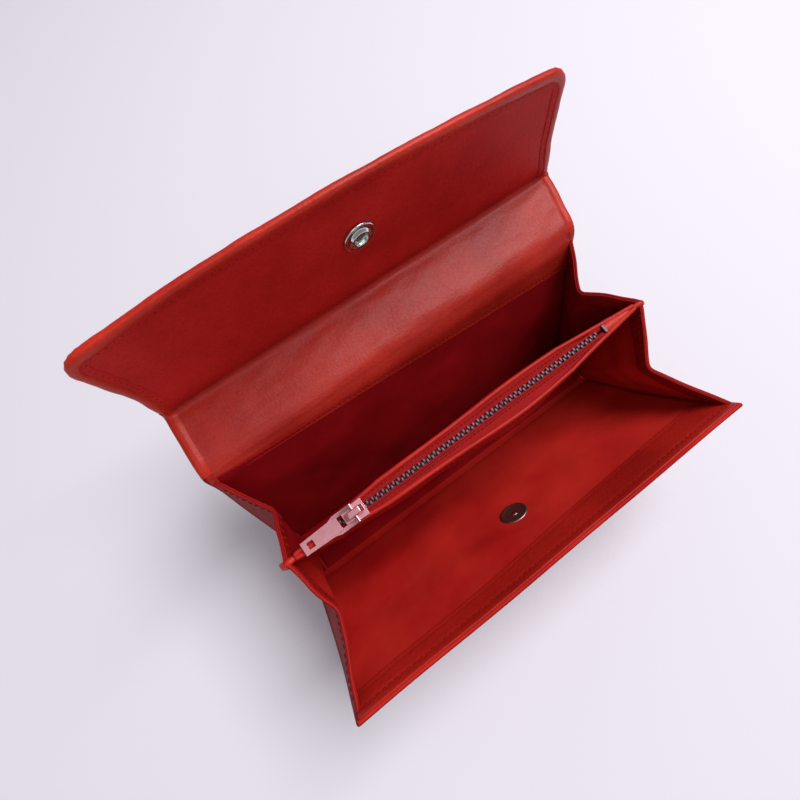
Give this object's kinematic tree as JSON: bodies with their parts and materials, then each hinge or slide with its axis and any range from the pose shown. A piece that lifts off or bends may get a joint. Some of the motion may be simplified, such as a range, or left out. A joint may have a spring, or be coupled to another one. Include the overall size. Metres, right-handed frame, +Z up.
{
  "type": "flap purse",
  "caption": "Open leather flap purse with a snap, folding W-shaped side gussets and a zipped coin pocket as its centre divider.",
  "frame": {"origin": "centre of the underside of the base, on the plane that the purse stands on", "axes": "+X along the width to the zip's far end, +Y from the front panel to the back panel, +Z up"},
  "size_m": [0.189, 0.1272, 0.151],
  "materials": {
    "shell_leather": "satin",
    "edge_leather": "satin",
    "gusset_leather": "satin",
    "lining": "matte",
    "zip_tape": "matte",
    "zip_metal": "satin",
    "slider_metal": "polished",
    "snap_metal": "polished",
    "snap_dark": "satin"
  },
  "bodies": {
    "base": {"shell_base": "shell_leather", "base_lining": "lining", "gusset_foot_left": "gusset_leather", "gusset_foot_right": "gusset_leather"},
    "back_panel": {"shell_back": "shell_leather", "back_lining": "lining", "back_facing": "shell_leather"},
    "front_panel": {"shell_front": "shell_leather", "front_lining": "lining", "front_facing": "shell_leather", "snap_stud": "snap_metal", "snap_post": "snap_dark"},
    "divider": {"pocket_wall_front": "shell_leather", "pocket_wall_back": "shell_leather", "pocket_floor": "shell_leather", "pocket_lining": "lining", "zip_tape_front": "zip_tape", "zip_tape_back": "zip_tape", "zip_teeth_front": "zip_metal", "zip_teeth_back": "zip_metal", "zip_stops_left": "zip_metal", "zip_stop_right": "zip_metal", "zip_end_left": "edge_leather", "zip_end_right": "edge_leather", "divider_tab_left": "edge_leather", "divider_tab_right": "edge_leather"},
    "slider": {"slider": "slider_metal", "slider_bridge": "slider_metal"},
    "puller": {"puller": "slider_metal"},
    "fold_strip": {"fold_strip": "shell_leather", "fold_strip_lining": "shell_leather"},
    "band_rear": {"band_rear": "shell_leather", "band_rear_lining": "shell_leather"},
    "band_front": {"band_front": "shell_leather", "band_front_lining": "shell_leather"},
    "flap": {"flap_leather": "shell_leather", "flap_lining": "shell_leather", "flap_edge": "edge_leather", "snap_cap": "snap_metal", "snap_socket": "snap_metal"},
    "gusset_left_front_outer": {"gusset_left_front_outer": "gusset_leather", "gusset_lining_left_front_outer": "lining"},
    "gusset_left_front_inner": {"gusset_left_front_inner": "gusset_leather", "gusset_lining_left_front_inner": "lining"},
    "gusset_left_back_inner": {"gusset_left_back_inner": "gusset_leather", "gusset_lining_left_back_inner": "lining"},
    "gusset_left_back_outer": {"gusset_left_back_outer": "gusset_leather", "gusset_lining_left_back_outer": "lining"},
    "gusset_right_front_outer": {"gusset_right_front_outer": "gusset_leather", "gusset_lining_right_front_outer": "lining"},
    "gusset_right_front_inner": {"gusset_right_front_inner": "gusset_leather", "gusset_lining_right_front_inner": "lining"},
    "gusset_right_back_inner": {"gusset_right_back_inner": "gusset_leather", "gusset_lining_right_back_inner": "lining"},
    "gusset_right_back_outer": {"gusset_right_back_outer": "gusset_leather", "gusset_lining_right_back_outer": "lining"}
  },
  "joints": [
    {"name": "front_panel_fold", "type": "hinge", "parent": "base", "child": "front_panel", "pos_m": [0, -0.012, 0.0008], "axis": [-1, 0, 0], "range_deg": [0, 39.2]},
    {"name": "back_panel_fold", "type": "hinge", "parent": "base", "child": "back_panel", "pos_m": [0, 0.012, 0.0008], "axis": [1, 0, 0], "range_deg": [0, 15.91]},
    {"name": "divider_fold", "type": "hinge", "parent": "base", "child": "divider", "pos_m": [0.004, 0, 0.0036], "axis": [-1, 0, 0], "range_deg": [0, 8.01]},
    {"name": "top_fold", "type": "hinge", "parent": "back_panel", "child": "fold_strip", "pos_m": [0, 0.03186, 0.07984], "axis": [1, 0, 0], "range_deg": [0, 62.61]},
    {"name": "flap_fold", "type": "hinge", "parent": "fold_strip", "child": "band_rear", "pos_m": [0, 0.03461, 0.08274], "axis": [1, 0, 0], "range_deg": [0, 62.1]},
    {"name": "band_bend", "type": "hinge", "parent": "band_rear", "child": "band_front", "pos_m": [0, 0.05405, 0.08861], "axis": [1, 0, 0], "range_deg": [0, 103.21]},
    {"name": "crease_fold", "type": "hinge", "parent": "band_front", "child": "flap", "pos_m": [0, 0.05903, 0.09011], "axis": [-1, 0, 0], "range_deg": [0, 77.07]},
    {"name": "slider_travel", "type": "slide", "parent": "divider", "child": "slider", "axis": [1, 0, 0], "range_m": [0, 0.116]},
    {"name": "puller_pivot", "type": "hinge", "parent": "slider", "child": "puller", "pos_m": [-0.0545, -0.01073, 0.07995], "axis": [0, 0.9903, 0.1392], "range_deg": [0, 173]},
    {"name": "gusset_left_front_outer_fold", "type": "hinge", "parent": "front_panel", "child": "gusset_left_front_outer", "pos_m": [-0.09, -0.01017, 0.0022], "axis": [0, 0.6074, -0.7944], "range_deg": [0, 60.41]},
    {"name": "gusset_left_front_inner_fold", "type": "hinge", "parent": "divider", "child": "gusset_left_front_inner", "pos_m": [-0.084, -0.00208, 0.00331], "axis": [0, -0.1392, 0.9903], "range_deg": [0, 72.3]},
    {"name": "gusset_left_back_inner_fold", "type": "hinge", "parent": "divider", "child": "gusset_left_back_inner", "pos_m": [-0.084, 0.00208, 0.00389], "axis": [0, 0.1392, -0.9903], "range_deg": [0, 67.53]},
    {"name": "gusset_left_back_outer_fold", "type": "hinge", "parent": "back_panel", "child": "gusset_left_back_outer", "pos_m": [-0.09, 0.00977, 0.00136], "axis": [0, 0.2436, 0.9699], "range_deg": [0, 55.44]},
    {"name": "gusset_right_front_outer_fold", "type": "hinge", "parent": "front_panel", "child": "gusset_right_front_outer", "pos_m": [0.09, -0.01017, 0.0022], "axis": [0, -0.6074, 0.7944], "range_deg": [0, 59.55]},
    {"name": "gusset_right_front_inner_fold", "type": "hinge", "parent": "divider", "child": "gusset_right_front_inner", "pos_m": [0.092, -0.00208, 0.00331], "axis": [0, 0.1392, -0.9903], "range_deg": [0, 54.19]},
    {"name": "gusset_right_back_inner_fold", "type": "hinge", "parent": "divider", "child": "gusset_right_back_inner", "pos_m": [0.092, 0.00208, 0.00389], "axis": [0, -0.1392, 0.9903], "range_deg": [0, 46.61]},
    {"name": "gusset_right_back_outer_fold", "type": "hinge", "parent": "back_panel", "child": "gusset_right_back_outer", "pos_m": [0.09, 0.00977, 0.00136], "axis": [0, -0.2436, -0.9699], "range_deg": [0, 54.51]}
  ],
  "couplings": [
    {"joint": "back_panel_fold", "follows": "front_panel_fold", "ratio": 0.40561},
    {"joint": "divider_fold", "follows": "front_panel_fold", "ratio": 0.20408},
    {"joint": "top_fold", "follows": "front_panel_fold", "ratio": 1.5969},
    {"joint": "band_bend", "follows": "flap_fold", "ratio": 1.6619},
    {"joint": "crease_fold", "follows": "flap_fold", "ratio": 1.2408},
    {"joint": "gusset_left_front_outer_fold", "follows": "front_panel_fold", "ratio": 1.5407},
    {"joint": "gusset_left_front_inner_fold", "follows": "front_panel_fold", "ratio": 1.8442},
    {"joint": "gusset_left_back_inner_fold", "follows": "front_panel_fold", "ratio": 1.7226},
    {"joint": "gusset_left_back_outer_fold", "follows": "front_panel_fold", "ratio": 1.4139},
    {"joint": "gusset_right_front_outer_fold", "follows": "front_panel_fold", "ratio": 1.519},
    {"joint": "gusset_right_front_inner_fold", "follows": "front_panel_fold", "ratio": 1.382},
    {"joint": "gusset_right_back_inner_fold", "follows": "front_panel_fold", "ratio": 1.1888},
    {"joint": "gusset_right_back_outer_fold", "follows": "front_panel_fold", "ratio": 1.3902}
  ]
}
